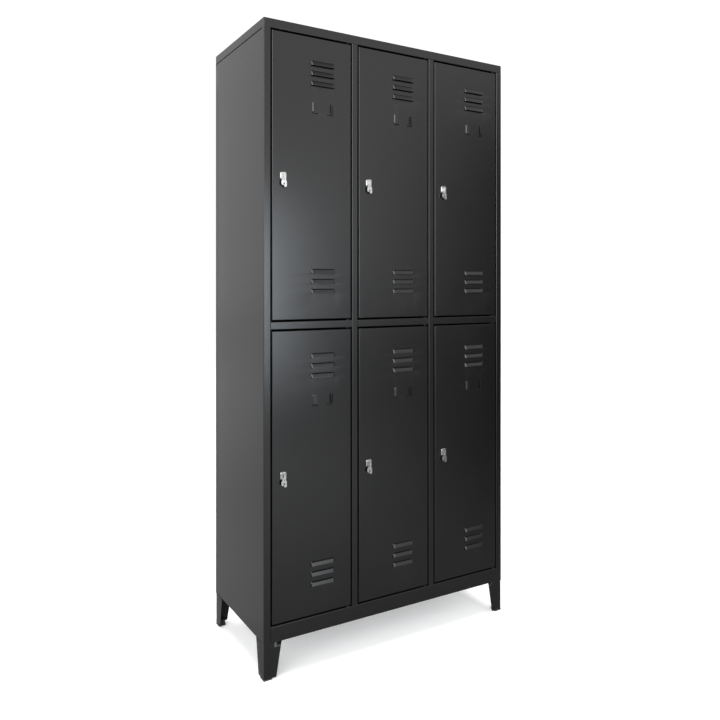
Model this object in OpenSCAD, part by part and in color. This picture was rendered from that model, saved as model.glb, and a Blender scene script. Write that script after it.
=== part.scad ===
// Steel locker cabinet: three columns of two compartments on four sheet-metal legs.
// The front faces -Y. The origin is on the floor, under the middle of the whole cabinet.

/* [Body] */
// Width over the side panels
body_w = 900; // [740:1:1100]
// Depth from the front frame to the back
body_d = 400; // [320:1:500]
// Height of the body, without its legs
body_h = 1796; // [1490:1:2160]
// Thickness of the body and door sheet
sheet = 1; // [0.8:0.1:1.2]
// Middle radius of a sheet bend
bend_r = 1.5; // [1:0.1:2.5]

/* [Front frame] */
// Height of the band round the top cap
cap_h = 27; // [22:1:34]
// Width of the folded stile on each side panel
stile_w = 22; // [18:1:30]
// Width of each mullion between two columns
mullion_w = 20; // [16:1:26]
// Height of the rail between two rows
mid_rail_h = 22.5; // [18.5:0.5:30]
// Height of the rail under the lower doors
base_rail_h = 47; // [38:1:60]
// How much taller the lower opening is than the upper one
lower_extra = 8; // [0:1:40]
// Width of the stop lip behind the lock side of a door
stop_lip = 12; // [10:1:14]
// Depth of the inward folds at the foot and the top of the body
rail_return = 20; // [16:1:20]
// Width of the inward folds along the side panels
side_flange = 19; // [16:0.5:21]
// Play round a piece that is notched over a fold
notch_gap = 0.5; // [0.3:0.1:1]

/* [Doors] */
// Gap beside a door
door_gap = 4.5; // [3.6:0.1:5.4]
// Gap over and under a door
door_end_gap = 4.8; // [4:0.1:5.8]
// Depth of the door's folded edges
door_depth = 18; // [15:0.5:22]
// Width of the door's inner lips
door_lip = 12; // [8:1:14]
// Play between an opening door and the stop lip
stop_gap = 1.5; // [1:0.1:3]
// Width of the stiffener's raised web
stiffener_web = 14; // [10:1:18]
// Width of each stiffener flange
stiffener_flange = 9; // [7:1:10]
// Height of the stiffener's web over the door sheet
stiffener_rise = 13; // [8:1:13.5]
// Distance of the stiffener from the door's top and foot
stiffener_end = 30; // [20:1:60]

/* [Louvres] */
// Width of a louvre
louvre_w = 80; // [60:1:100]
// Height of a louvre
louvre_h = 14.5; // [10:0.5:20]
// How far a louvre stands out
louvre_out = 7; // [5:0.5:8.5]
// Distance from one louvre to the next
louvre_pitch = 29.7; // [24:0.1:40]
// Louvres in each group
louvre_count = 3; // [1:1:4]
// Distance from the door's top to the first louvre's lip
louvre_drop = 83; // [60:0.5:110]
// Distance from the shorter door's foot to the last louvre's lip
louvre_foot = 76; // [60:1:110]
// Distance from the hinge edge to the middle of the louvres
louvre_side = 98; // [88:1:120]

/* [Card holder] */
// Width over the card holder's side tabs
card_w = 69; // [56:1:90]
// Height of the card holder
card_h = 34; // [28:1:42]
// Distance from the door's top to the card holder
card_drop = 192; // [180:0.5:230]
// Width of a side tab
side_tab_w = 6.5; // [5.5:0.5:9]
// Height of a foot tab
foot_tab_h = 5; // [4:0.5:7]
// Length of a foot tab
foot_tab_l = 17.5; // [14:0.5:22]
// Space between a foot tab and the side tab over it
tab_space = 1; // [0.8:0.1:2]
// Space between a tab's free edge and the door for the card
card_slot = 2; // [1.5:0.1:2.5]

/* [Hinges] */
// Radius of a hinge pin
pin_r = 2.5; // [2:0.1:3]
// Distance of the pin from the door's hinge edge
pivot_in = 8; // [7:0.1:9]
// Distance of the pin behind the front
pivot_back = 6.5; // [6:0.1:7]
// Play between the pin and its bush, on the radius
pin_fit = 0.05; // [0.02:0.01:0.1]
// Radius of the bush in its hole
bush_r = 4; // [3.6:0.1:4.4]
// Radius of the bush's collar
bush_collar_r = 5.2; // [4.8:0.1:5.6]
// Thickness of the bush's collar
bush_collar_h = 1.2; // [1:0.1:1.6]
// Length of the bush past the sheet
bush_l = 6; // [4:0.5:7]
// Length of the pin inside the door
pin_tail = 12; // [8:1:20]
// How far the pin's collar stands out from the pin
pin_collar_w = 2; // [1.5:0.1:2.4]
// Thickness of the pin's collar
pin_collar_h = 3; // [2:0.5:4]

/* [Locks] */
// Distance of the lock from the door's free edge
lock_side = 34; // [31:1:37]
// Width of the lock's bezel
bezel_w = 20; // [19:0.5:23]
// Height of the lock's bezel
bezel_h = 23; // [20:0.5:26]
// Radius of the bezel's corners
bezel_corner_r = 5; // [4:0.5:6]
// Step round the bezel's raised face
bezel_step = 1; // [0.8:0.1:1.2]
// How far the bezel stands out
bezel_out = 4.5; // [3:0.1:5]
// Radius of the lock barrel
barrel_r = 8.5; // [8:0.1:9]
// Radius of the turning plug
plug_r = 6; // [5.6:0.1:6.5]
// Play between the plug and the barrel, on the radius
plug_fit = 0.05; // [0.02:0.01:0.1]
// Size of the lock nut across its corners
nut_w = 25; // [22:1:27]
// Thickness of the lock nut
nut_h = 3; // [2:0.5:4]
// Reach of the cam from the lock's axis
cam_reach = 32; // [30:0.5:34]
// Width of the cam
cam_w = 14; // [12:0.5:16]
// Thickness of the cam
cam_t = 2; // [1.5:0.1:3]
// Play behind the stop lip for the cam
cam_gap = 1; // [0.6:0.1:2]
// Small space that keeps stacked lock pieces apart
stack_gap = 0.05; // [0.02:0.01:0.1]

/* [Keys] */
// Thickness of the key blade
key_t = 2.2; // [1.8:0.1:2.4]
// Height of the key blade
key_h = 8; // [7:0.1:9]
// Play round the blade in its keyway
key_fit = 0.1; // [0.05:0.01:0.15]
// Cuts along the blade
key_cuts = 4; // [2:1:5]
// Size of a cut in the blade
key_cut = 1.2; // [1:0.1:1.6]
// Distance from the key's tip to the cam
key_tip_gap = 3; // [2:0.5:5]
// Distance of the bow's pivot in front of the door
bow_out = 7.5; // [7.2:0.1:9]
// Distance of the bow's pivot under the lock's axis
bow_drop = 9; // [8:0.1:10]
// Thickness of the bow
bow_t = 2.4; // [2:0.1:2.6]
// Length of the bow's long leaf from its pivot
bow_long = 24; // [20:1:28]
// Length of the bow's short leaf from its pivot
bow_short = 19; // [16:1:20]
// Radius of the bow's rounded leaves
leaf_r = 4.5; // [4.2:0.1:4.7]
// How far the two leaves lap over the middle of the bow
leaf_lap = 0.5; // [0.4:0.1:1]
// Width of the bow at its pivot
bow_neck_w = 11; // [10:0.5:12]
// How far the bow reaches above its pivot
bow_ear = 2.4; // [2:0.1:3]
// Play between the end of the bow's slot and the key's head
slot_play = 1.4; // [1:0.1:2]
// Radius of the hole in the bow
bow_hole_r = 2.4; // [2:0.1:2.8]
// Distance of the hole from the bow's pivot
bow_hole_drop = 14; // [11.5:0.5:15]
// Radius of the bow's cross pin
bow_pin_r = 1; // [0.8:0.1:1.2]
// Space between the key's head and the bezel
stand_off = 0.2; // [0.1:0.05:0.3]
// Play between the bow's ears and the key's head
ear_gap = 0.15; // [0.1:0.05:0.3]

/* [Legs] */
// Height of a leg's sheet
leg_h = 100; // [80:1:160]
// Thickness of the leg sheet
leg_t = 1.5; // [1.2:0.1:2]
// Width of a leg at its top
leg_top_w = 56; // [50:1:70]
// Width of a leg at its foot
leg_foot_w = 39; // [32:1:45]
// Inset of the legs from the body's faces
leg_inset = 1; // [0.5:0.1:3]
// Thickness of the glide under a leg
glide_h = 4; // [3:0.5:8]
// Width of a glide
glide_w = 26; // [22:1:30]
// Height of the glide's plug inside the leg
glide_plug_h = 14; // [8:1:25]
// Radius of a leg screw
screw_r = 3; // [2.5:0.1:3.5]
// Distance of the second leg screw from the corner
screw_far = 38; // [34:1:42]
// Length of a leg screw over the folded sheet
screw_end = 9; // [7:0.5:11]
// Height of a leg screw's nut
screw_nut_h = 4.8; // [4:0.2:6]
// Radius of a leg screw's nut over its corners
screw_nut_r = 5.6; // [5:0.1:6]

/* [Inside] */
// Radius of a coat rail
coat_rail_r = 7; // [5:0.5:10]
// Distance of a coat rail under the top of its compartment
coat_rail_drop = 70; // [50:1:100]

/* [Hidden] */
$fn = 48;
eps = 0.01;
columns = 3;
rows = 2;
PLACES = ["upper_left", "upper_middle", "upper_right", "lower_left", "lower_middle", "lower_right"];
DOOR_PIECES = [
    "door_panel", "door_stiffener", "hinge_pins", "lock_barrel", "lock_cam", "key_blade", "key_bow"
];
BODY_NODES = [
    "side_panel_left", "side_panel_right", "top_cap", "bottom_panel", "back_panel",
    "partition_left", "partition_right", "shelf_left", "shelf_middle", "shelf_right",
    "leg_front_left", "leg_front_right", "leg_rear_left", "leg_rear_right",
    "leg_glides", "leg_screws", "coat_rails", "hinge_bushes"
];

// Colours
coat_black = [0.17, 0.17, 0.18];
inner_black = [0.12, 0.12, 0.13];
plastic_black = [0.05, 0.05, 0.05];
zinc = [0.72, 0.73, 0.74];
nickel = [0.84, 0.84, 0.82];

// Heights
body_z = glide_h + leg_h;
top_z = body_z + body_h;
cap_z = top_z - cap_h;
base_z = body_z + base_rail_h;
clear_h = cap_z - base_z - mid_rail_h;
upper_open_h = (clear_h - lower_extra) / 2;
lower_open_h = clear_h - upper_open_h;
mid_z = base_z + lower_open_h;

// Widths
open_w = (body_w - 2 * stile_w - (columns - 1) * mullion_w) / columns;
door_w = open_w - 2 * door_gap;
inner_w = body_w - 2 * stile_w;
flange_w = min(side_flange, stile_w);

// Depths, from the front of the frame
lip_y = pivot_back + norm([pivot_in, door_depth - pivot_back]) + stop_gap;
inner_y = lip_y + sheet + notch_gap;
back_y = body_d - 2 * sheet;
cam_y = lip_y + sheet + cam_gap;
key_end = cam_y - key_tip_gap;
head_r = bow_out - bezel_out - 2 * stand_off;
key_out = bow_out + head_r;
front_y = (key_out - body_d) / 2;

// Lengths that both rows share, so that every door is punched alike
short_door_h = min(upper_open_h, lower_open_h) - 2 * door_end_gap;
lock_drop = short_door_h / 2;
low_group_drop = short_door_h - louvre_foot - (louvre_count - 1) * louvre_pitch;

function column_x(column) = -body_w / 2 + stile_w + column * (open_w + mullion_w);
function wall_left(column) = column == 0 ? -body_w / 2 + sheet : column_x(column) - mullion_w + sheet;
function wall_right(column) = column == columns - 1 ? body_w / 2 - sheet : column_x(column) + open_w;
function open_z(row) = row == 0 ? mid_z + mid_rail_h : base_z;
function open_h(row) = row == 0 ? upper_open_h : lower_open_h;
function door_h(row) = open_h(row) - 2 * door_end_gap;
function row_of(place) = floor(place / columns);

// A folded sheet's outline: the path runs along the middle of the sheet and every bend is square.
function way(path, i) = (path[i + 1] - path[i]) / norm(path[i + 1] - path[i]);
function left_of(v) = [-v[1], v[0]];
function turn(u, v) = sign(u[0] * v[1] - u[1] * v[0]);
function bend_points(corner, u, v, shift, r) =
    let (s = turn(u, v), centre = corner - r * u + s * r * left_of(u), start = -s * left_of(u))
    [for (a = [0:18:90]) centre + (r - s * shift) * (cos(a) * start + s * sin(a) * left_of(start))];
function fold_side(path, shift, r = bend_r) = [
    for (i = [0:len(path) - 1])
        each i == 0 ? [path[0] + shift * left_of(way(path, 0))]
            : i == len(path) - 1 ? [path[i] + shift * left_of(way(path, i - 1))]
            : bend_points(path[i], way(path, i - 1), way(path, i), shift, r)
];
function reversed(points) = [for (i = [len(points) - 1:-1:0]) points[i]];

module fold(path, t = sheet, r = bend_r) {
    polygon(concat(fold_side(path, t / 2, r), reversed(fold_side(path, -t / 2, r))));
}

// Stands a YZ outline up and runs it along X
module along_x(x0, x1) {
    translate([x0, 0, 0]) rotate([90, 0, 90]) linear_extrude(x1 - x0) children();
}

// Stands an XZ outline up, from y0 to y1
module along_y(y0, y1) {
    translate([0, y1, 0]) rotate([90, 0, 0]) linear_extrude(y1 - y0) children();
}

module along_z(z0, z1) {
    translate([0, 0, z0]) linear_extrude(z1 - z0) children();
}

module block(low, high) {
    translate(low) cube(high - low);
}

module rod_y(r, y0, y1) {
    translate([0, y0, 0]) rotate([-90, 0, 0]) cylinder(h = y1 - y0, r = r);
}

module rod_z(r, z0, z1) {
    translate([0, 0, z0]) cylinder(h = z1 - z0, r = r);
}

module rod_x(r, x0, x1) {
    translate([x0, 0, 0]) rotate([0, 90, 0]) cylinder(h = x1 - x0, r = r);
}

module from_front() {
    translate([0, front_y, 0]) children();
}

module at_door(place) {
    translate([column_x(place % columns) + door_gap, front_y, open_z(row_of(place)) + door_end_gap])
        children();
}

module at_lock(place) {
    at_door(place) translate([lock_side, 0, door_h(row_of(place)) - lock_drop]) children();
}

// Sets its child, drawn for the front left corner, at any corner of the body
module at_corner(side, end) {
    mirror([side, 0, 0]) translate([-body_w / 2, end == 0 ? front_y : front_y + body_d, 0])
        mirror([0, end, 0]) children();
}

// Hinge axes as they meet the frame, drawn in the XY plane
module pivot_holes(first, last, r) {
    for (column = [first:last])
        translate([column_x(column) + open_w - door_gap - pivot_in, pivot_back]) circle(r = r);
}

// ---- Body ----

// Left side panel with its stile, stop lip and rear fold
module side_panel() {
    path = [
        [stile_w + stop_lip, lip_y + sheet / 2],
        [stile_w - sheet / 2, lip_y + sheet / 2],
        [stile_w - sheet / 2, sheet / 2],
        [sheet / 2, sheet / 2],
        [sheet / 2, body_d - sheet / 2],
        [flange_w, body_d - sheet / 2]
    ];
    near = leg_inset + stile_w / 2;
    color(coat_black) difference() {
        union() {
            along_z(body_z, cap_z) fold(path);
            for (z = [body_z, cap_z - sheet])
                block([sheet / 2, inner_y, z], [flange_w, back_y, z + sheet]);
        }
        for (y = [screw_far, body_d - screw_far])
            translate([near, y, 0]) rod_z(screw_r, body_z - eps, body_z + sheet + eps);
    }
}

module top_cap() {
    outline = [
        [body_w / 2, sheet / 2], [body_w - sheet / 2, sheet / 2], [body_w - sheet / 2, body_d - sheet / 2],
        [sheet / 2, body_d - sheet / 2], [sheet / 2, sheet / 2], [body_w / 2, sheet / 2]
    ];
    color(coat_black) from_front() {
        translate([-body_w / 2, 0, 0]) {
            along_z(top_z - sheet, top_z) polygon(fold_side(outline, -sheet / 2));
            along_z(cap_z, top_z) difference() {
                polygon(fold_side(outline, -sheet / 2));
                polygon(fold_side(outline, sheet / 2));
            }
        }
        along_z(cap_z, cap_z + sheet) difference() {
            translate([-body_w / 2, 0]) polygon(fold_side(outline, -sheet / 2));
            translate([-body_w / 2 + flange_w, rail_return])
                square([body_w - 2 * flange_w, body_d - rail_return - flange_w]);
            pivot_holes(0, columns - 1, bush_r);
        }
    }
}

// The floor of the lower compartments, folded down into the base rail in front and at the back
module bottom_panel() {
    rail = [
        [rail_return, body_z + sheet / 2], [sheet / 2, body_z + sheet / 2],
        [sheet / 2, base_z - sheet / 2], [lip_y - notch_gap, base_z - sheet / 2]
    ];
    rear_y = back_y - sheet / 2;
    rear_rail = [
        [back_y - rail_return, body_z + sheet / 2], [rear_y, body_z + sheet / 2],
        [rear_y, base_z - sheet / 2], [back_y - rail_return, base_z - sheet / 2]
    ];
    plate_x = body_w / 2 - sheet;
    neck_x = inner_w / 2 - stop_lip - notch_gap;
    color(coat_black) from_front() difference() {
        union() {
            along_x(-inner_w / 2, inner_w / 2) fold(rail);
            along_x(-inner_w / 2, inner_w / 2) fold(rear_rail);
            block([-neck_x, rail_return, base_z - sheet], [neck_x, inner_y, base_z]);
            block([-plate_x, inner_y, base_z - sheet], [plate_x, back_y - rail_return, base_z]);
        }
        along_z(base_z - sheet - eps, base_z + eps) pivot_holes(0, columns - 1, bush_r);
        for (side = [-1, 1]) for (y = [leg_inset + stile_w / 2, body_d - leg_inset - stile_w / 2])
            translate([side * (body_w / 2 - screw_far), y, 0])
                rod_z(screw_r, body_z - eps, body_z + sheet + eps);
    }
}

// Back panel, laid inside the rear folds and clear of their bends
module back_panel() {
    half_w = body_w / 2 - sheet / 2 - bend_r;
    color(coat_black) from_front()
        block([-half_w, back_y, body_z], [half_w, back_y + sheet, cap_z]);
}

// Partition, folded into the mullion in front of it; its web reaches up into the cap
module partition(number) {
    path = [
        [mullion_w + stop_lip, lip_y + sheet / 2],
        [mullion_w - sheet / 2, lip_y + sheet / 2],
        [mullion_w - sheet / 2, sheet / 2],
        [sheet / 2, sheet / 2],
        [sheet / 2, back_y]
    ];
    color(coat_black) translate([column_x(number) - mullion_w, front_y, 0]) {
        along_z(base_z, cap_z) fold(path);
        block(
            [0, rail_return + notch_gap, cap_z],
            [sheet, body_d - flange_w - notch_gap, top_z - sheet]
        );
    }
}

// Shelf between two compartments, folded down into the rail in front of it
module shelf(column) {
    x0 = column_x(column);
    x1 = x0 + open_w;
    lip = stop_lip + notch_gap;
    shelf_z = mid_z + mid_rail_h;
    rail = [
        [rail_return, mid_z + sheet / 2], [sheet / 2, mid_z + sheet / 2],
        [sheet / 2, shelf_z - sheet / 2], [lip_y - notch_gap, shelf_z - sheet / 2]
    ];
    color(coat_black) from_front() difference() {
        union() {
            along_x(x0, x1) fold(rail);
            block([x0 + lip, rail_return, shelf_z - sheet], [x1 - lip, inner_y, shelf_z]);
            block([wall_left(column), inner_y, shelf_z - sheet], [wall_right(column), back_y, shelf_z]);
        }
        along_z(mid_z - eps, shelf_z + eps) pivot_holes(column, column, bush_r);
    }
}

// Tapered leg for the front left corner, with the plate that the screws pass through
module leg() {
    outline = [[0, glide_h], [leg_foot_w, glide_h], [leg_top_w, body_z], [0, body_z]];
    color(coat_black) translate([leg_inset, leg_inset, 0]) difference() {
        union() {
            along_y(0, leg_t) polygon(outline);
            along_x(0, leg_t) polygon(outline);
            block([0, 0, body_z - leg_t], [leg_top_w - leg_t, leg_top_w - leg_t, body_z]);
        }
        translate([-leg_inset, -leg_inset, 0]) leg_screw_places()
            rod_z(screw_r, body_z - leg_t - eps, body_z + eps);
    }
}

module leg_screw_places() {
    near = leg_inset + stile_w / 2;
    translate([near, screw_far, 0]) children();
    translate([screw_far, near, 0]) children();
}

// Plastic glide: a foot plate with a plug that fits into the leg's corner
module glide() {
    color(plastic_black) translate([leg_inset, leg_inset, 0]) {
        rod_z_square(glide_w, 0, glide_h);
        translate([leg_t, leg_t, 0]) rod_z_square(glide_w - 2 * leg_t, glide_h, glide_h + glide_plug_h);
    }
}

// Square bar with one rounded inner corner
module rod_z_square(w, z0, z1) {
    r = w / 4;
    along_z(z0, z1) {
        square([w, w - r]);
        square([w - r, w]);
        translate([w - r, w - r]) circle(r = r);
    }
}

// Leg screw with its head under the plate and its nut over the folded sheet
module leg_screw() {
    head_z = body_z - leg_t - screw_r;
    nut_z = body_z + sheet;
    color(zinc) {
        rod_z(2 * screw_r, head_z, body_z - leg_t);
        rod_z(screw_r, head_z, nut_z + screw_end);
        translate([0, 0, nut_z]) cylinder(h = screw_nut_h, r = screw_nut_r, $fn = 6);
    }
}

module all_corners() {
    for (side = [0, 1]) for (end = [0, 1]) at_corner(side, end) children();
}

module coat_rails() {
    color(zinc) from_front()
        for (place = [0:columns * rows - 1])
            translate([0, body_d / 2, open_z(row_of(place)) + open_h(row_of(place)) - coat_rail_drop])
                rod_x(coat_rail_r, wall_left(place % columns), wall_right(place % columns));
}

// Hinge bush: a collar in the gap beside the door and a sleeve through the frame
module bush() {
    color(plastic_black) difference() {
        union() {
            rod_z(bush_collar_r, -bush_collar_h, 0);
            rod_z(bush_r, -bush_collar_h, sheet + bush_l);
        }
        rod_z(pin_r + pin_fit, -bush_collar_h - eps, sheet + bush_l + eps);
    }
}

module hinge_bushes() {
    for (place = [0:columns * rows - 1]) at_pivot(place) {
        translate([0, 0, door_h(row_of(place)) + door_end_gap]) bush();
        translate([0, 0, -door_end_gap]) mirror([0, 0, 1]) bush();
    }
}

// ---- Doors ----

module at_pivot(place) {
    at_door(place) translate([door_w - pivot_in, pivot_back, 0]) children();
}

function door_path() = [
    [door_lip, door_depth - sheet / 2],
    [sheet / 2, door_depth - sheet / 2],
    [sheet / 2, sheet / 2],
    [door_w - sheet / 2, sheet / 2],
    [door_w - sheet / 2, door_depth - sheet / 2],
    [door_w - door_lip, door_depth - sheet / 2]
];

// Louvre hood over its lip at z = 0, centred on x = 0
module louvre_hood(out, rise, foot) {
    outline = concat([[0, foot], [out, foot]], [for (a = [0:15:90]) [out * cos(a), rise * sin(a)]]);
    half_w = louvre_w / 2 - louvre_out;
    intersection() {
        union() {
            mirror([0, 1, 0]) along_x(-half_w, half_w) polygon(outline);
            for (side = [-1, 1]) translate([side * half_w, 0, 0]) rotate_extrude() polygon(outline);
        }
        block([-louvre_w, -2 * louvre_out, -louvre_h], [louvre_w, sheet / 2, 2 * louvre_h]);
    }
}

// Runs its child over every louvre of a door
module at_louvres(place) {
    for (group = [louvre_drop, low_group_drop]) for (i = [0:louvre_count - 1])
        translate([door_w - louvre_side, 0, door_h(row_of(place)) - group - i * louvre_pitch]) children();
}

// A lanced tab: it slopes out from the sheet at x = 0 to its free edge at x = w, and it runs up Z
module tab(w, l) {
    along_z(0, l) polygon([
        [0, sheet / 2], [0, 0], [w, -card_slot - sheet], [w, -card_slot], [sheet, 0], [sheet, sheet / 2]
    ]);
}

module tab_window(w, l) {
    block([sheet, -eps, 0], [w, sheet + eps, l]);
}

// The card holder's four tabs, drawn round the middle of its foot
module at_card_tabs() {
    for (side = [0, 1]) mirror([side, 0, 0]) {
        translate([-card_w / 2, 0, foot_tab_h + tab_space]) children(0);
        translate([-card_w / 2, 0, 0]) rotate([0, -90, 0]) mirror([0, 0, 1]) children(1);
    }
}

module at_card(place) {
    translate([door_w - louvre_side, 0, door_h(row_of(place)) - card_drop - card_h]) children();
}

module door_panel(place) {
    h = door_h(row_of(place));
    side_tab_l = card_h - foot_tab_h - tab_space;
    color(coat_black) at_door(place) difference() {
        union() {
            along_z(0, h) fold(door_path());
            for (z = [0, h - sheet]) along_z(z, z + sheet) polygon(fold_side(door_path(), sheet / 2));
            at_louvres(place) louvre_hood(louvre_out, louvre_h, 0);
            at_card(place) at_card_tabs() {
                tab(side_tab_w, side_tab_l);
                tab(foot_tab_h, foot_tab_l);
            }
        }
        at_louvres(place) {
            louvre_hood(louvre_out - sheet, louvre_h - sheet, -eps);
            block(
                [louvre_out - louvre_w / 2, -eps, 0],
                [louvre_w / 2 - louvre_out, sheet + eps, louvre_h - 2 * sheet]
            );
        }
        at_card(place) at_card_tabs() {
            tab_window(side_tab_w, side_tab_l);
            tab_window(foot_tab_h, foot_tab_l);
        }
        translate([lock_side, 0, h - lock_drop]) rod_y(barrel_r, -eps, sheet + eps);
        translate([door_w - pivot_in, pivot_back, 0])
            for (z = [0, h - sheet]) rod_z(pin_r, z - eps, z + sheet + eps);
    }
}

// Hat-shaped stiffener behind the door, between the hinge edge and the louvres
module door_stiffener(place) {
    free_edge = louvre_side - louvre_w / 2;
    low = 1.5 * sheet;
    high = low + stiffener_rise;
    half_web = stiffener_web / 2;
    path = [
        [-half_web - stiffener_flange, low], [-half_web, low], [-half_web, high],
        [half_web, high], [half_web, low], [half_web + stiffener_flange, low]
    ];
    color(inner_black) at_door(place) translate([door_w - (door_lip + free_edge) / 2, 0, 0])
        along_z(stiffener_end, door_h(row_of(place)) - stiffener_end) fold(path);
}

// Hinge pin at the foot of a door; its collar rests on the door's fold
module hinge_pin() {
    rod_z(pin_r, -door_end_gap - bush_l, pin_tail);
    rod_z(pin_r + pin_collar_w, sheet, sheet + pin_collar_h);
}

module hinge_pins(place) {
    color(zinc) at_pivot(place) {
        hinge_pin();
        translate([0, 0, door_h(row_of(place))]) mirror([0, 0, 1]) hinge_pin();
    }
}

// ---- Locks and keys ----

// Plate with rounded corners, drawn round its middle
module rounded(w, h, r) {
    square([w - 2 * r, h], center = true);
    square([w, h - 2 * r], center = true);
    for (x = [r - w / 2, w / 2 - r]) for (z = [r - h / 2, h / 2 - r]) translate([x, z]) circle(r = r);
}

// Lock barrel with its stepped bezel on the door's face and its nut behind the sheet
module lock_barrel(place) {
    face_w = bezel_w - 2 * bezel_step;
    face_h = bezel_h - 2 * bezel_step;
    color(nickel) at_lock(place) {
        difference() {
            union() {
                along_y(bezel_step - bezel_out, 0) rounded(bezel_w, bezel_h, bezel_corner_r);
                along_y(-bezel_out, 0) rounded(face_w, face_h, bezel_corner_r - bezel_step);
                rod_y(barrel_r, -eps, cam_y - stack_gap);
            }
            rod_y(plug_r + plug_fit, -bezel_out - eps, cam_y);
        }
        difference() {
            translate([0, sheet + stack_gap, 0]) rotate([-90, 0, 0])
                cylinder(h = nut_h, r = nut_w / 2, $fn = 6);
            rod_y(barrel_r + 2 * stack_gap, 0, sheet + 2 * nut_h);
        }
    }
}

// Plug with its keyway, the cam that hangs from it and the cam's screw
module lock_cam(place) {
    screw_y = cam_y + cam_t + stack_gap;
    color(nickel) at_lock(place) {
        difference() {
            rod_y(plug_r, stand_off - bezel_out, cam_y - stack_gap);
            key_body(key_fit);
        }
        union() {
            rod_y(cam_w / 2, cam_y, cam_y + cam_t);
            block([-cam_w / 2, cam_y, cam_w / 2 - cam_reach], [cam_w / 2, cam_y + cam_t, 0]);
            translate([0, 0, cam_w / 2 - cam_reach]) rod_y(cam_w / 2, cam_y, cam_y + cam_t);
        }
        rod_y(plug_r - 1, screw_y, screw_y + cam_t);
    }
}

// Blade of the key, or its keyway when it is drawn with play round it
module key_body(play) {
    block(
        [-key_t / 2 - play, -bezel_out - 2 * stand_off, -key_h / 2 - play],
        [key_t / 2 + play, key_end + play, key_h / 2 + play]
    );
}

// Key: blade with its cuts and the flat head that carries the bow
module key_blade(place) {
    head_back = -bezel_out - stand_off;
    cut_pitch = (key_end - key_cut) / (key_cuts + 1);
    head_front = -bow_out - head_r;
    head = [
        [head_front, -bow_drop], [head_back, -bow_drop], [head_back, key_h / 2], [head_front, key_h / 2]
    ];
    color(nickel) at_lock(place) difference() {
        union() {
            difference() {
                key_body(0);
                for (i = [1:key_cuts]) translate([0, i * cut_pitch, key_h / 2])
                    rotate([45, 0, 0]) cube([2 * key_t, key_cut, key_cut], center = true);
            }
            along_x(-key_t / 2, key_t / 2) polygon(head);
            translate([0, -bow_out, -bow_drop]) rod_x(head_r, -key_t / 2, key_t / 2);
        }
        translate([0, -bow_out, -bow_drop]) rod_x(bow_pin_r + plug_fit, -key_t, key_t);
    }
}

// Folding bow: two leaves side by side, slotted at the top to hold the key's head
module key_bow(place) {
    slot_w = key_t + 2 * ear_gap;
    shoulder = head_r + slot_play;
    neck_h = shoulder + leaf_r + bow_ear;
    color(nickel) at_lock(place) translate([0, -bow_out, -bow_drop]) {
        difference() {
            along_y(-bow_t / 2, bow_t / 2) difference() {
                union() {
                    translate([-bow_neck_w / 2, bow_ear - neck_h]) square([bow_neck_w, neck_h]);
                    leaf(-1, shoulder, bow_short);
                    leaf(1, shoulder, bow_long);
                }
                translate([-slot_w / 2, -shoulder]) square([slot_w, 2 * shoulder]);
                translate([0, -bow_hole_drop]) circle(r = bow_hole_r);
            }
            rod_x(bow_pin_r, -bow_neck_w, bow_neck_w);
        }
        rod_x(bow_pin_r, -bow_neck_w / 2, bow_neck_w / 2);
    }
}

module leaf(side, top, length) {
    x = side * (leaf_r - leaf_lap);
    translate([x, -top - leaf_r]) circle(r = leaf_r);
    translate([x - leaf_r, leaf_r - length]) square([2 * leaf_r, length - top - 2 * leaf_r]);
    translate([x, leaf_r - length]) circle(r = leaf_r);
}

at_corner(0, 0) side_panel();  // side_panel_left
at_corner(1, 0) side_panel();  // side_panel_right
top_cap();
bottom_panel();
back_panel();
partition(1);  // partition_left
partition(2);  // partition_right
shelf(0);  // shelf_left
shelf(1);  // shelf_middle
shelf(2);  // shelf_right
at_corner(0, 0) leg();  // leg_front_left
at_corner(1, 0) leg();  // leg_front_right
at_corner(0, 1) leg();  // leg_rear_left
at_corner(1, 1) leg();  // leg_rear_right
all_corners() glide();  // leg_glides
all_corners() leg_screw_places() leg_screw();  // leg_screws
coat_rails();
hinge_bushes();

for (place = [0:len(PLACES) - 1]) {
    door_panel(place);
    door_stiffener(place);
    hinge_pins(place);
    lock_barrel(place);
    lock_cam(place);
    key_blade(place);
    key_bow(place);
}
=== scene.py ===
"""Looks of a steel locker cabinet: powder-coated sheet, louvred doors, locks with folding keys and glides."""

import math

import bmesh
import bpy
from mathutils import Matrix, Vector

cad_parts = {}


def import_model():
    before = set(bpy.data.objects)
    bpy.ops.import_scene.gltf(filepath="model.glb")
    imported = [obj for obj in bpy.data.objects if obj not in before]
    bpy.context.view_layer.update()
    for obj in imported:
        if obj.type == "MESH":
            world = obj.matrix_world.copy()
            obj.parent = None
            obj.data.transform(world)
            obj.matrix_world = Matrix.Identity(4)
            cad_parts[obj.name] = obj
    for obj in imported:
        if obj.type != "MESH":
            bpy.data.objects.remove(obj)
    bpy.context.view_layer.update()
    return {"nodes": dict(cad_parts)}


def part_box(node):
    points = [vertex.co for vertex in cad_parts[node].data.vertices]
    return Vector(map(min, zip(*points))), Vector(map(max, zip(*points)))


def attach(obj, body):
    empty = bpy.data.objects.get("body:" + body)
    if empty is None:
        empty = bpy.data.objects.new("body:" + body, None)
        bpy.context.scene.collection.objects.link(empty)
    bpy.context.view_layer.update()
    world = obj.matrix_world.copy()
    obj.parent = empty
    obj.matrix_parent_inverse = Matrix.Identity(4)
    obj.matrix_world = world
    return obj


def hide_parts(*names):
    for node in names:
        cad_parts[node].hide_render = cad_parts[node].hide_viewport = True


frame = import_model()

MM = 0.001
PLACES = ("upper_left", "upper_middle", "upper_right", "lower_left", "lower_middle", "lower_right")
SIDES = ("front_left", "front_right", "rear_left", "rear_right")

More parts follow.
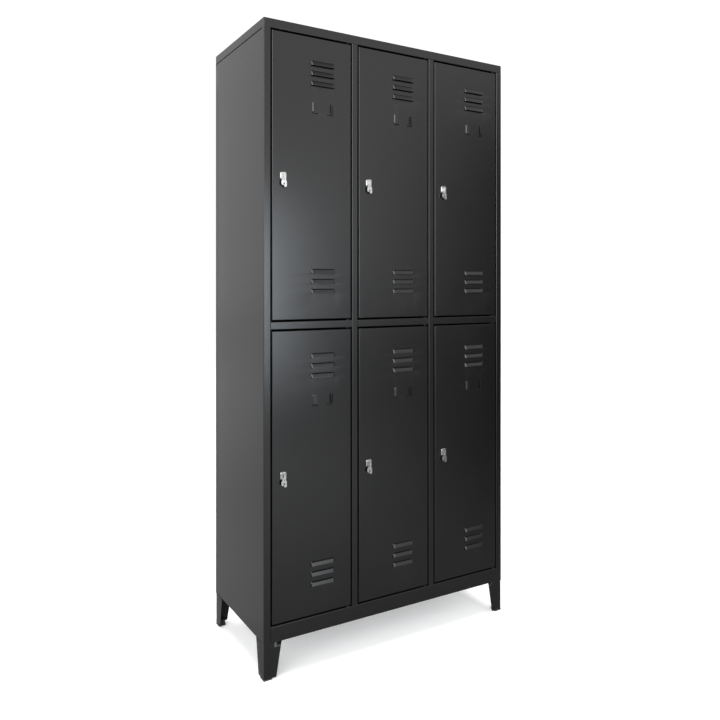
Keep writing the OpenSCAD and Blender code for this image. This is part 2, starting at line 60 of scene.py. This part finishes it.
# Sizes of the sheet metal, in metres
SHEET = 1.0 * MM
BEND = 2.0 * MM
BEND_STEPS = 5
STILE = 22 * MM
STOP_LIP = 12 * MM
LIP_Y = 22.5 * MM
FLANGE = 19 * MM
DOOR_LIP = 12 * MM
DOOR_DEPTH = 18 * MM

# Top cap, the groove between it and the side panels, and the place behind the stile where the groove starts
CAP_CORNER = 2.5 * MM
CAP_CORNER_STEPS = 4
CAP_CORNER_MIN = 0.1 * MM
CAP_FOLD = 1.6 * MM
TOP_FOLD = 4.4 * MM
TOP_GROOVE = 1.6 * MM
RELIEF_Y = 10 * MM

# Legs
LEG_SHEET = 1.5 * MM
LEG_BEND = 2.5 * MM
LEG_FOOT_W = 39 * MM
LEG_STEPS = 6

# Louvres and card holder, from the door's top and its hinge edge
LOUVRE_W = 80 * MM
LOUVRE_H = 14.5 * MM
LOUVRE_OUT = 7 * MM
LOUVRE_PITCH = 29.7 * MM
LOUVRE_DROP = 83 * MM
LOUVRE_FOOT = 76 * MM
LOUVRE_SIDE = 98 * MM
LOUVRE_END = 6.5 * MM
LOUVRE_END_STEPS = 9
LOUVRE_STEPS = 5
LOUVRE_BROW = 0.24
BROW_RISE = 0.4
LOUVRES = 3
CARD_W = 69 * MM
CARD_H = 34 * MM
CARD_DROP = 192 * MM
SIDE_TAB_W = 6.5 * MM
FOOT_TAB_H = 5 * MM
FOOT_TAB_L = 17.5 * MM
TAB_SPACE = 1 * MM
TAB_OUT = 3 * MM
TAB_ROOT = 2.2 * MM

# Lock, from the door's free edge
LOCK_SIDE = 34 * MM
LOCK_HOLE = 8.5 * MM
LOCK_COLLAR = 10 * MM

# Mesh making: distances that count as none, the angle in degrees from which an edge is shaded sharp or is rounded,
# and the rows of faces along a wall
JOIN = 0.002 * MM
WELD = 0.004 * MM
NEAR_LINE = 0.05 * MM
SHARP = 25
ROUNDED = 32
WALL_ROWS = 8
WALL_COLUMNS = 6
WALL_MARGIN = 100 * MM
LIP_TURN = 0.08

# Camera, from the left panel's front corner
CAMERA_LEFT = 798.2 * MM
CAMERA_FRONT = 1829.5 * MM
CAMERA_HEIGHT = 1128.7 * MM
CAMERA_TURN = -29.748
CAMERA_LENS = 34.78
CAMERA_SHIFT = (0.0292, -0.1018)

# Floor: its half width in metres, its own faint light, and the painted shade of its colour as it is reflected, dimmer
# and fanning from light at the left to dark at the right, as (left, right) or (near, far)
FLOOR_HALF = 30
FLOOR_LIGHT = 0.23
FLOOR_FAN = (-1.24, 1.635)
FLOOR_FAN_SIDES = (0.47, 0.9)
FLOOR_NEAR = (0.36, 0.18)
FLOOR_FAR = (0.62, 0.0)
FLOOR_BACK = (0.33, 0.78)

# Brightness of the surroundings, as the cabinet reflects them
WALL_GLOW = 1.45
WALL_DARK = 0.02
UPPER_GLOW = 1.18
LEFT_GLOW = 6.0
BEHIND_GLOW = 0.88
BACKDROP = 1.05


# ---- Node-material helpers ----

class Shader:
    """A node material in the making: each call adds a node and returns one of its sockets."""

    def __init__(self, name):
        self.material = bpy.data.materials.new(name)
        self.material.use_nodes = True
        self.tree = self.material.node_tree
        self.tree.nodes.clear()
        self.surface = self.tree.nodes.new("ShaderNodeBsdfPrincipled")
        output = self.tree.nodes.new("ShaderNodeOutputMaterial")
        self.tree.links.new(self.surface.outputs["BSDF"], output.inputs["Surface"])
        self.position = self.tree.nodes.new("ShaderNodeTexCoord").outputs["Object"]

    def add(self, kind, inputs=None, **settings):
        node = self.tree.nodes.new(kind)
        for key, value in settings.items():
            setattr(node, key, value)
        for key, value in (inputs or {}).items():
            self.feed(node.inputs[key], value)
        return node

    def feed(self, socket, value):
        if isinstance(value, bpy.types.NodeSocket):
            self.tree.links.new(value, socket)
        else:
            socket.default_value = value

    def set(self, **values):
        for key, value in values.items():
            self.feed(self.surface.inputs[key.replace("_", " ")], value)

    def stretched(self, scale):
        """The object's own coordinates, scaled along X, Y and Z."""
        return self.add("ShaderNodeMapping", {"Vector": self.position, "Scale": scale}).outputs["Vector"]

    def noise(self, scale, detail=3.0, roughness=0.5, vector=None):
        inputs = {"Vector": vector or self.position, "Scale": scale, "Detail": detail, "Roughness": roughness}
        return self.add("ShaderNodeTexNoise", inputs).outputs["Fac"]

    def ramp(self, factor, low, high, to_low=0.0, to_high=1.0):
        inputs = {"Value": factor, "From Min": low, "From Max": high, "To Min": to_low, "To Max": to_high}
        return self.add("ShaderNodeMapRange", inputs, clamp=True).outputs["Result"]

    def math(self, operation, a, b):
        return self.add("ShaderNodeMath", {0: a, 1: b}, operation=operation).outputs["Value"]

    def mix(self, factor, a, b):
        node = self.add("ShaderNodeMix", data_type="RGBA")
        self.feed(node.inputs[0], factor)
        self.feed(node.inputs[6], a)
        self.feed(node.inputs[7], b)
        return node.outputs[2]

    def blend(self, factor, a, b):
        """As mix, for plain numbers."""
        return self.add("ShaderNodeMix", {0: factor, 2: a, 3: b}).outputs[0]

    def edges(self, low=0.52, high=0.6):
        """1 on raised edges and 0 elsewhere."""
        return self.ramp(self.add("ShaderNodeNewGeometry").outputs["Pointiness"], low, high)

    def height(self):
        return self.add("ShaderNodeSeparateXYZ", {"Vector": self.position}).outputs["Z"]

    def bump(self, height, strength, distance, normal=None):
        inputs = {"Height": height, "Strength": strength, "Distance": distance}
        if normal is not None:
            inputs["Normal"] = normal
        return self.add("ShaderNodeBump", inputs).outputs["Normal"]


def powder_coat(name, colour, rub=1.0):
    """Fine-textured powder coat: a close grain, faint clouding, rubbed edges and scuffs near the floor."""
    s = Shader(name)
    grain = s.noise(1500, detail=2)
    orange_peel = s.noise(260, detail=2)
    cloud = s.noise(3.2, detail=4, roughness=0.6)
    smudge = s.ramp(s.noise(14, detail=5, roughness=0.65), 0.52, 0.72)
    scratch = s.ramp(s.noise(60, detail=3, vector=s.stretched((0.25, 0.25, 6))), 0.7, 0.78)
    low_down = s.ramp(s.height(), 0.25, 0.0)
    worn = s.math("MULTIPLY", s.edges(0.53, 0.64), s.ramp(s.noise(45, detail=4), 0.42, 0.66, 0.0, 0.35 * rub))
    dark = [c * 0.86 for c in colour] + [1]
    light = [c * 1.16 for c in colour] + [1]
    bare = [c * 3.2 + 0.02 for c in colour] + [1]
    base = s.mix(s.ramp(cloud, 0.3, 0.7), dark, light)
    base = s.mix(s.ramp(grain, 0.35, 0.75, 0.0, 0.28), base, [c * 1.9 for c in colour] + [1])
    base = s.mix(s.math("MULTIPLY", scratch, s.math("MULTIPLY", low_down, 0.4)), base, bare)
    base = s.mix(worn, base, bare)
    rough = s.ramp(cloud, 0.3, 0.7, 0.21, 0.25)
    rough = s.math("ADD", rough, s.math("MULTIPLY", smudge, 0.01))
    rough = s.math("ADD", rough, s.math("MULTIPLY", low_down, 0.04))
    normal = s.bump(grain, 0.22, 0.00025, s.bump(orange_peel, 0.12, 0.0006))
    s.set(Base_Color=base, Roughness=rough, Normal=normal, Specular_IOR_Level=0.5)
    return s.material


def plated(name, colour, low_rough, high_rough, brushed=(1, 1, 1)):
    """Plated metal with faint tool marks, handling marks, and hollows darkened with grime and painted shade."""
    s = Shader(name)
    marks = s.noise(900, detail=3, vector=s.stretched(brushed))
    tarnish = s.ramp(s.noise(120, detail=5, roughness=0.6), 0.45, 0.7)
    # Hollows are darkened: partly grime, partly painted shade standing in for the shade that falls in them.
    hollow_grime_and_shade = s.ramp(s.add("ShaderNodeNewGeometry").outputs["Pointiness"], 0.5, 0.42)
    base = s.mix(s.math("MULTIPLY", tarnish, 0.35), colour + [1], [c * 0.72 for c in colour] + [1])
    base = s.mix(s.math("MULTIPLY", hollow_grime_and_shade, 0.5), base, [c * 0.35 for c in colour] + [1])
    rough = s.ramp(s.math("ADD", marks, s.math("MULTIPLY", tarnish, 0.4)), 0.4, 1.0, low_rough, high_rough)
    s.set(Base_Color=base, Metallic=1.0, Roughness=rough, Normal=s.bump(marks, 0.15, 0.0002))
    return s.material


def moulded(name, colour):
    """Moulded plastic: fine spark texture, scuffed edges and dust near the floor."""
    s = Shader(name)
    texture = s.noise(1100, detail=3)
    low_down = s.ramp(s.height(), 0.012, 0.0, 0.0, 0.5)
    dust = s.math("MULTIPLY", low_down, s.ramp(s.noise(300, detail=4), 0.4, 0.7))
    base = s.mix(s.math("MULTIPLY", s.edges(), 0.4), colour + [1], [c * 2.5 + 0.01 for c in colour] + [1])
    base = s.mix(dust, base, [0.16, 0.15, 0.14, 1])
    rough = s.ramp(s.noise(80, detail=4), 0.3, 0.7, 0.5, 0.66)
    s.set(Base_Color=base, Roughness=rough, Normal=s.bump(texture, 0.25, 0.0003))
    return s.material


coat = powder_coat("powder_coat", [0.0038, 0.0038, 0.0039])
coat_doors = powder_coat("powder_coat_doors", [0.0038, 0.0038, 0.004], rub=1.3)
coat_inside = powder_coat("powder_coat_inside", [0.007, 0.007, 0.007], rub=0.6)
nickel = plated("nickel_plate", [0.54, 0.54, 0.53], 0.18, 0.32)
# A darker copy of the nickel, for the lock's cam: painted shade, standing in for the dark keyhole at the lock's
# centre.
keyhole_shaded_nickel = plated("keyhole_shaded_nickel", [0.36, 0.36, 0.35], 0.24, 0.4)
zinc = plated("zinc_plate", [0.6, 0.61, 0.62], 0.26, 0.48, brushed=(0.2, 6, 6))
dark_steel = plated("dark_steel", [0.01, 0.01, 0.011], 0.4, 0.55)
plastic = moulded("black_plastic", [0.014, 0.014, 0.015])


# ---- Mesh helpers ----

def finish_mesh(name, bm, material, body, stands_for, solid=SHEET, offset=-1):
    """Turns a bmesh sheet into a piece that rides on a body, thickened inwards or, at offset 0, about its middle."""
    bmesh.ops.remove_doubles(bm, verts=bm.verts, dist=JOIN)
    bm.normal_update()
    for edge in bm.edges:
        if len(edge.link_faces) == 2 and edge.calc_face_angle(0) > math.radians(SHARP):
            edge.smooth = False
    mesh = bpy.data.meshes.new(name)
    bm.to_mesh(mesh)
    bm.free()
    piece = bpy.data.objects.new(name, mesh)
    bpy.context.scene.collection.objects.link(piece)
    mesh.materials.append(material)
    thicken = piece.modifiers.new("thickness", "SOLIDIFY")
    thicken.thickness = solid
    thicken.offset = offset
    thicken.use_even_offset = offset != 0
    smooth(piece)
    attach(piece, body)
    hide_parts(*stands_for)


def smooth(piece):
    """Smooth shading, with normals that keep the large flat faces flat."""
    piece.data.shade_smooth()
    flat = piece.modifiers.new("flat_faces", "WEIGHTED_NORMAL")
    flat.weight = 100
    flat.keep_sharp = True


def dress(node, material, bevel=0.0, segments=2):
    """Gives a CAD node its material, and rounds its edges a little."""
    piece = frame["nodes"][node]
    piece.data.materials.clear()
    piece.data.materials.append(material)
    if bevel:
        weld = piece.modifiers.new("weld", "WELD")
        weld.merge_threshold = WELD
        rounding = piece.modifiers.new("rounding", "BEVEL")
        rounding.width = bevel
        rounding.segments = segments
        rounding.limit_method = "ANGLE"
        rounding.angle_limit = math.radians(ROUNDED)
        rounding.harden_normals = True
        rounding.miter_outer = "MITER_ARC"
    smooth(piece)


def spread(low, high, count):
    """Evenly spaced numbers from low to high, both included."""
    return [low + (high - low) * k / count for k in range(count + 1)]


def bend(radius=BEND):
    """(outward, back) offsets round a square bend, from the face to the fold."""
    angles = spread(0, math.pi / 2, BEND_STEPS)[1:]
    return [(radius * math.sin(a), radius * (1 - math.cos(a))) for a in angles]


# ---- Doors ----

def louvre_rise(along, up):
    """How far a louvre stands out, at a place along it and over its lip."""
    end = 1 - min(1.0, min(along, LOUVRE_W - along) / LOUVRE_END)
    down = 1 - up / LOUVRE_H
    brow = math.sin(math.pi / 2 * min(1.0, down / LOUVRE_BROW))
    return LOUVRE_OUT * (BROW_RISE * brow + (1 - BROW_RISE) * down) * math.sqrt(max(0.0, 1 - end * end))


def slope(across, width):
    """How far a lanced tab stands out, at a distance from its root."""
    return TAB_OUT * (min(1.0, across / TAB_ROOT) + across / width) / 2


def door_features(width, height, low_group):
    """Raised parts of a door's face: (x0, x1, z0, z1, rise function), with x from the free edge."""
    centre = width - LOUVRE_SIDE
    x0 = centre - LOUVRE_W / 2
    features = []
    for group in (LOUVRE_DROP, low_group):
        for i in range(LOUVRES):
            z0 = height - group - i * LOUVRE_PITCH
            features.append((x0, x0 + LOUVRE_W, z0, z0 + LOUVRE_H, lambda x, z, b=z0: louvre_rise(x - x0, z - b)))
    left, right = centre - CARD_W / 2, centre + CARD_W / 2
    foot = height - CARD_DROP - CARD_H
    low, high = foot + FOOT_TAB_H + TAB_SPACE, foot + CARD_H
    features.append((left, left + SIDE_TAB_W, low, high, lambda x, z: slope(x - left, SIDE_TAB_W)))
    features.append((right - SIDE_TAB_W, right, low, high, lambda x, z: slope(right - x, SIDE_TAB_W)))
    for start in (left, right - FOOT_TAB_L):
        end = start + FOOT_TAB_L
        features.append((start, end, foot, foot + FOOT_TAB_H, lambda x, z: slope(z - foot, FOOT_TAB_H)))
    return features


def grid_lines(low, high, features, axis):
    """Grid lines over a face: its ends, each feature's edges, and closer lines where a louvre or a tab turns."""
    lines = {low, high}
    for feature in features:
        a, b = feature[2 * axis], feature[2 * axis + 1]
        lines.update((a, b))
        if abs(feature[1] - feature[0] - LOUVRE_W) > MM:
            lines.update((a + TAB_ROOT, b - TAB_ROOT))
            continue
        if axis == 0:
            for t in spread(0, math.pi / 2, LOUVRE_END_STEPS):
                lines.update((a + LOUVRE_END * (1 - math.cos(t)), b - LOUVRE_END * (1 - math.cos(t))))
        else:
            lines.update(spread(b - LOUVRE_BROW * LOUVRE_H, b, LOUVRE_STEPS) + spread(a, b, LOUVRE_STEPS))
    merged = []
    for value in sorted(lines):
        if low <= value <= high and (not merged or value - merged[-1] > NEAR_LINE):
            merged.append(value)
    return merged


def door_skin(place):
    """The door's sheet: a face with louvres, card tabs and a round lock hole, and its bends, folds and inner lips."""
    low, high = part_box("door_panel_" + place)
    back = high.y
    front = back - DOOR_DEPTH
    width, height = high.x - low.x, high.z - low.z
    boxes = [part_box("door_panel_" + row) for row in ("upper_left", "lower_left")]
    short = min(top.z - foot.z for foot, top in boxes)
    low_group = short - LOUVRE_FOOT - (LOUVRES - 1) * LOUVRE_PITCH
    features = door_features(width, height, low_group)
    lock_x, lock_z = LOCK_SIDE, height - short / 2
    hole = LOCK_COLLAR
    xs = grid_lines(BEND, width - BEND, features, 0)
    zs = grid_lines(BEND, height - BEND, features, 1)
    xs = sorted(set(xs) | {lock_x - hole, lock_x, lock_x + hole})
    zs = sorted(set(zs) | {lock_z - hole, lock_z, lock_z + hole})
    bm = bmesh.new()
    raised = set()
    made = {}

    def corner(i, j, rise):
        key = (i, j, round(rise * 1e6))
        if key not in made:
            made[key] = bm.verts.new((low.x + xs[i], front - rise, low.z + zs[j]))
        return made[key]

    for i in range(len(xs) - 1):
        for j in range(len(zs) - 1):
            cx, cz = (xs[i] + xs[i + 1]) / 2, (zs[j] + zs[j + 1]) / 2
            if abs(cx - lock_x) < hole and abs(cz - lock_z) < hole:
                continue
            rise = next((f[4] for f in features if f[0] < cx < f[1] and f[2] < cz < f[3]), None)
            corners = [(i, j), (i + 1, j), (i + 1, j + 1), (i, j + 1)]
            face = bm.faces.new([corner(a, b, rise(xs[a], zs[b]) if rise else 0.0) for a, b in corners])
            if rise:
                raised.add(face)
    for edge in bm.edges:
        edge.smooth = len({face in raised for face in edge.link_faces}) == 1
    last_i, last_j = len(xs) - 1, len(zs) - 1
    rim = [(i, 0) for i in range(last_i)] + [(last_i, j) for j in range(last_j)]
    rim += [(i, last_j) for i in range(last_i, 0, -1)] + [(0, j) for j in range(last_j, 0, -1)]
    loop = [corner(i, j, 0.0) for i, j in rim]

    def outward(i, j):
        return Vector(((i == last_i) - (i == 0), 0, (j == last_j) - (j == 0)))

    for out, deep in bend() + [(BEND, back - front - SHEET)]:
        ring = []
        for i, j in rim:
            ring.append(bm.verts.new(corner(i, j, 0.0).co + outward(i, j) * out + Vector((0, deep, 0))))
        for k in range(len(loop)):
            n = (k + 1) % len(loop)
            bm.faces.new([loop[n], loop[k], ring[k], ring[n]])
        loop = ring
    for side, x_in in ((0, low.x + DOOR_LIP), (last_i, high.x - DOOR_LIP)):
        edge = [(vert, j) for (i, j), vert in zip(rim, loop) if i == side]
        edge.sort(key=lambda item: item[1])
        turned = [bm.verts.new((v.co.x + (x_in - v.co.x) * LIP_TURN, back, v.co.z)) for v, j in edge]
        lip = [bm.verts.new((x_in, back, v.co.z)) for v, j in edge]
        rows = ([v for v, j in edge], turned, lip)
        for a, b in zip(rows, rows[1:]):
            for k in range(len(edge) - 1):
                face = [a[k], a[k + 1], b[k + 1], b[k]]
                bm.faces.new(face if side == 0 else face[::-1])
    round_hole(bm, Vector((low.x + lock_x, front, low.z + lock_z)), hole)
    finish_mesh("door_skin_" + place, bm, coat_doors, "door_" + place, ["door_panel_" + place])


def round_hole(bm, centre, half):
    """Fills a square gap in a face with a collar round the lock's hole."""
    def near(vert):
        away = vert.co - centre
        return abs(away.y) < 1e-7 and max(abs(away.x), abs(away.z)) < half + 1e-6

    square = [vert for vert in bm.verts if near(vert)]
    square.sort(key=lambda v: math.atan2(v.co.z - centre.z, v.co.x - centre.x))
    ring = []
    for vert in square:
        a = math.atan2(vert.co.z - centre.z, vert.co.x - centre.x)
        ring.append(bm.verts.new(centre + LOCK_HOLE * Vector((math.cos(a), 0, math.sin(a)))))
    for k in range(len(square)):
        n = (k + 1) % len(square)
        bm.faces.new([square[k], square[n], ring[n], ring[k]])


# ---- Frame ----

def rounded_loop(x0, x1, y0, y1, radius):
    """Points round a rectangle with rounded corners."""
    points = []
    for cx, cy, start in ((x1, y0, -90), (x1, y1, 0), (x0, y1, 90), (x0, y0, 180)):
        mx = cx - radius if cx == x1 else cx + radius
        my = cy + radius if cy == y0 else cy - radius
        for a in spread(math.radians(start), math.radians(start + 90), CAP_CORNER_STEPS):
            points.append((mx + radius * math.cos(a), my + radius * math.sin(a)))
    return points


def cap_skin():
    """Top cap as a folded pan: top face, rounded bends, band and the fold under it."""
    low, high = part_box("top_cap")
    height = high.z - low.z
    rings = [(BEND, 0.0)] + [(BEND - out, down) for out, down in bend()]
    rings += [(0.0, height * 0.5), (0.0, height - CAP_FOLD)]
    rings += [(down, height - CAP_FOLD + out) for out, down in bend(radius=CAP_FOLD)]
    rings.append((FLANGE, height))
    bm = bmesh.new()
    loops = []
    for inset, down in rings:
        radius = max(CAP_CORNER - inset, CAP_CORNER_MIN)
        loop = rounded_loop(low.x + inset, high.x - inset, low.y + inset, high.y - inset, radius)
        loops.append([bm.verts.new((x, y, high.z - down)) for x, y in loop])
    bm.faces.new(loops[0])
    for a, b in zip(loops, loops[1:]):
        for k in range(len(a)):
            n = (k + 1) % len(a)
            bm.faces.new([a[n], a[k], b[k], b[n]])
    finish_mesh("cap_skin", bm, coat, "cabinet", ["top_cap"])


def folded(path, radius):
    """A path with every corner between its ends rounded off."""
    points = [Vector(path[0])]
    for before, here, after in zip(path, path[1:], path[2:]):
        a = (Vector(before) - Vector(here)).normalized()
        b = (Vector(after) - Vector(here)).normalized()
        centre = Vector(here) + radius * (a + b)
        for t in spread(0, math.pi / 2, BEND_STEPS):
            points.append(centre - radius * (b * math.cos(t) + a * math.sin(t)))
    points.append(Vector(path[-1]))
    return points


def side_skin(side):
    """Side panel with its stile and stop lip; its foot and top are folded in behind the stile."""
    low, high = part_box("side_panel_" + side)
    across = 1 if side == "left" else -1
    edge = low.x if side == "left" else high.x
    half = SHEET / 2
    lip_y = low.y + LIP_Y
    back = high.y - half
    radius = BEND - half
    front_part = folded([
        (STILE + STOP_LIP, lip_y), (STILE - half, lip_y), (STILE - half, low.y + half),
        (half, low.y + half), (half, low.y + RELIEF_Y)], radius)
    wall = [(half, y) for y in spread(low.y + RELIEF_Y, back - SHEET, WALL_COLUMNS)]
    rear_part = folded([(half, back - SHEET), (half, back), (FLANGE, back)], radius)
    outline = front_part + wall[1:-1] + rear_part
    first, last = len(front_part) - 1, len(front_part) + len(wall) - 2
    levels = [low.z, low.z + TOP_FOLD]
    levels += spread(low.z + WALL_MARGIN, high.z - WALL_MARGIN, WALL_ROWS) + [high.z - TOP_FOLD, high.z]
    bm = bmesh.new()

    def row(points, z):
        return [bm.verts.new((edge + across * x, y, z)) for x, y in points]

    def skin(a, b):
        for k in range(len(a) - 1):
            face = [a[k], a[k + 1], b[k + 1], b[k]]
            bm.faces.new(face if across > 0 else face[::-1])

    rows = {z: row(outline, z) for z in levels}
    beside_fold = (slice(0, first + 1), slice(last, None))
    for a, b in zip(levels, levels[1:]):
        for part in beside_fold if low.z in (a, b) or high.z in (a, b) else (slice(None),):
            skin(rows[a][part], rows[b][part])
    for z, away, crown in ((levels[1], -1, TOP_FOLD - half), (levels[-2], 1, TOP_FOLD - TOP_GROOVE - half)):
        previous = rows[z][first:last + 1]
        for up, inward in bend(crown) + [(crown, FLANGE - half)]:
            following = row([(half + inward, y) for x, y in outline[first:last + 1]], z + away * up)
            skin(previous, following) if away > 0 else skin(following, previous)
            previous = following
    finish_mesh("side_skin_" + side, bm, coat, "cabinet", ["side_panel_" + side], offset=0)


def leg_skin(side):
    """Tapered leg: two flanges round a bent corner, and the screwed plate at the top."""
    low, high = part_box("leg_" + side)
    corner = Vector((low.x if "left" in side else high.x, low.y if "front" in side else high.y, 0))
    across = 1 if "left" in side else -1
    deep = 1 if "front" in side else -1
    top_w = high.x - low.x
    turn = spread(0, math.pi / 2, LEG_STEPS)[1:]
    bm = bmesh.new()
    rows = []
    for z in spread(low.z, high.z, LEG_STEPS):
        w = LEG_FOOT_W + (top_w - LEG_FOOT_W) * (z - low.z) / (high.z - low.z)
        outline = [(w, 0), (w / 2, 0), (LEG_BEND, 0)]
        outline += [(LEG_BEND * (1 - math.sin(a)), LEG_BEND * (1 - math.cos(a))) for a in turn]
        outline += [(0, w / 2), (0, w)]
        rows.append([bm.verts.new((corner.x + across * x, corner.y + deep * y, z)) for x, y in outline])
    flip = across * deep < 0
    for a, b in zip(rows, rows[1:]):
        for k in range(len(a) - 1):
            face = [a[k + 1], a[k], b[k], b[k + 1]]
            bm.faces.new(face[::-1] if flip else face)
    far = top_w - LEG_SHEET
    plate = rows[-1] + [bm.verts.new((corner.x + across * far, corner.y + deep * far, high.z))]
    bm.faces.new(plate if flip else plate[::-1])
    finish_mesh("leg_skin_" + side, bm, coat, "cabinet", ["leg_" + side], solid=LEG_SHEET)


for place in PLACES:
    door_skin(place)
    dress("door_stiffener_" + place, coat_inside, 0.25 * MM)
    dress("hinge_pins_" + place, dark_steel, 0.3 * MM)
    dress("lock_barrel_" + place, nickel, 0.9 * MM, 4)
    dress("lock_cam_" + place, keyhole_shaded_nickel, 0.25 * MM)
    dress("key_blade_" + place, nickel, 0.25 * MM)
    dress("key_bow_" + place, nickel, 0.5 * MM, 3)

cap_skin()
for side in SIDES:
    leg_skin(side)
for side in ("left", "right"):
    side_skin(side)
    dress("partition_" + side, coat, 0.3 * MM)
for node in ("bottom_panel", "shelf_left", "shelf_middle", "shelf_right", "back_panel"):
    dress(node, coat, 0.3 * MM)
dress("leg_glides", plastic, 1.0 * MM, 3)
dress("leg_screws", dark_steel, 0.3 * MM)
dress("coat_rails", zinc)
dress("hinge_bushes", plastic, 0.25 * MM)


# ---- Stage, camera and lights ----

def stage():
    """Plain pale floor. As it is reflected, its colour carries painted shade: dimmer, fanning out from light at the
    left to dark at the right.
    """
    bm = bmesh.new()
    half = FLOOR_HALF
    square = ((-half, -half), (half, -half), (half, half), (-half, half))
    bm.faces.new([bm.verts.new((x, y, 0)) for x, y in square])
    mesh = bpy.data.meshes.new("floor")
    bm.to_mesh(mesh)
    bm.free()
    floor = bpy.data.objects.new("floor", mesh)
    bpy.context.scene.collection.objects.link(floor)
    s = Shader("pale_floor")
    tone = s.mix(s.ramp(s.noise(2.0, detail=3), 0.3, 0.7), [0.93, 0.93, 0.93, 1], [0.95, 0.95, 0.95, 1])
    s.set(Base_Color=tone, Roughness=0.8, Specular_IOR_Level=0.1)
    s.set(Emission_Color=(1, 1, 1, 1), Emission_Strength=FLOOR_LIGHT)
    place = s.add("ShaderNodeSeparateXYZ", {"Vector": s.position}).outputs
    across = s.math("SUBTRACT", place["X"], FLOOR_FAN[0])
    slant = s.math("DIVIDE", across, s.math("SUBTRACT", FLOOR_FAN[1], place["Y"]))
    near = s.ramp(slant, *FLOOR_FAN_SIDES, *FLOOR_NEAR)
    far = s.ramp(slant, *FLOOR_FAN_SIDES, *FLOOR_FAR)
    front = s.blend(s.ramp(place["Y"], -0.4, -2.4), near, far)
    back = s.ramp(place["Y"], 1.5, 6.0, *FLOOR_BACK)
    painted_reflection_shade = s.blend(s.ramp(place["Y"], -0.3, 0.3), front, back)
    # Painted shade: the floor's colour as seen in reflections only, set by its place on the floor.
    shaded_reflection = s.add("ShaderNodeBsdfDiffuse", {"Color": painted_reflection_shade})
    seen = s.add("ShaderNodeLightPath").outputs["Is Camera Ray"]
    mixed = s.add("ShaderNodeMixShader", {"Fac": seen, 1: shaded_reflection.outputs["BSDF"], 2: s.surface.outputs["BSDF"]})
    output = next(n for n in s.tree.nodes if n.type == "OUTPUT_MATERIAL")
    s.tree.links.new(mixed.outputs["Shader"], output.inputs["Surface"])
    mesh.materials.append(s.material)


def area_light(name, place, target, size, power, colour=(1, 1, 1)):
    """A rectangular soft light that faces its target."""
    data = bpy.data.lights.new(name, "AREA")
    data.shape = "RECTANGLE"
    data.size, data.size_y = size
    data.energy = power
    data.color = colour
    light = bpy.data.objects.new(name, data)
    light.location = place
    light.rotation_mode = "QUATERNION"
    light.rotation_quaternion = (Vector(target) - Vector(place)).to_track_quat("-Z", "Y")
    bpy.context.scene.collection.objects.link(light)
    return light


def camera():
    """Level camera at standing height, turned to show the front and the left side."""
    data = bpy.data.cameras.new("camera")
    data.sensor_width = 36
    data.lens = CAMERA_LENS
    data.shift_x, data.shift_y = CAMERA_SHIFT
    low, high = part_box("side_panel_left")
    cam = bpy.data.objects.new("camera", data)
    cam.location = (low.x - CAMERA_LEFT, low.y - CAMERA_FRONT, CAMERA_HEIGHT)
    cam.rotation_euler = (math.pi / 2, 0, math.radians(CAMERA_TURN))
    bpy.context.scene.collection.objects.link(cam)
    bpy.context.scene.camera = cam


def world():
    """White surroundings. What the cabinet reflects is bright above, behind and at the left, dark at the right."""
    studio = bpy.data.worlds.new("studio")
    studio.use_nodes = True
    tree = studio.node_tree
    background = tree.nodes["Background"]
    output = tree.nodes["World Output"]

    def node(kind, inputs=None, **settings):
        made = tree.nodes.new(kind)
        for key, value in settings.items():
            setattr(made, key, value)
        for key, value in (inputs or {}).items():
            if isinstance(value, bpy.types.NodeSocket):
                tree.links.new(value, made.inputs[key])
            else:
                made.inputs[key].default_value = value
        return made

    direction = node("ShaderNodeTexCoord").outputs["Generated"]
    axes = node("ShaderNodeSeparateXYZ", {"Vector": direction}).outputs

    def fade(axis, start, end, low, high):
        inputs = {"Value": axes[axis], "From Min": start, "From Max": end, "To Min": low, "To Max": high}
        return node("ShaderNodeMapRange", inputs, clamp=True, interpolation_type="SMOOTHSTEP").outputs["Result"]

    def join(operation, a, b):
        return node("ShaderNodeMath", {0: a, 1: b}, operation=operation).outputs["Value"]

    wall = join("MULTIPLY", fade("X", 0.55, 0.64, WALL_GLOW, WALL_DARK), fade("X", -0.3, 0.35, 0.62, 1.0))
    wall = join("MULTIPLY", wall, fade("Z", 0.22, 0.3, 1.0, 0.8))
    upper = join("MULTIPLY", fade("Z", 0.235, 0.285, 0.0, UPPER_GLOW), fade("Y", -0.2, 0.4, 1.0, 0.78))
    left = join("MULTIPLY", fade("X", -0.2, -0.4, 0.0, LEFT_GLOW), fade("Y", -0.05, -0.3, 0.0, 1.0))
    left = join("MULTIPLY", left, fade("Z", -0.2, 0.1, 0.0, 1.0))
    behind = fade("Y", -0.1, 0.6, 0.0, BEHIND_GLOW)
    glow = join("MAXIMUM", join("MAXIMUM", wall, upper), join("MAXIMUM", left, behind))
    overhead = fade("Z", 0.5, 0.85, 1.0, 0.1)
    glow = join("MULTIPLY", glow, overhead)
    tree.links.new(glow, background.inputs["Strength"])
    white = node("ShaderNodeBackground", {"Color": (1, 1, 1, 1), "Strength": BACKDROP})
    seen = node("ShaderNodeLightPath").outputs["Is Camera Ray"]
    mixed = node("ShaderNodeMixShader", {"Fac": seen, 1: background.outputs[0], 2: white.outputs[0]})
    background.inputs["Color"].default_value = (1, 1, 1, 1)
    tree.links.new(mixed.outputs["Shader"], output.inputs["Surface"])
    bpy.context.scene.world = studio


stage()
camera()
world()
bpy.context.scene.view_settings.view_transform = "Standard"
area_light("overhead", (0.2, 0.8, 4.6), (0.2, 0.4, 0), (4.0, 4.0), 225).visible_glossy = False
area_light("window", (0.47, -2.9, 1.1), (-0.4, -0.2, 1.1), (0.6, 1.15), 18, (0.84, 0.92, 1.0))
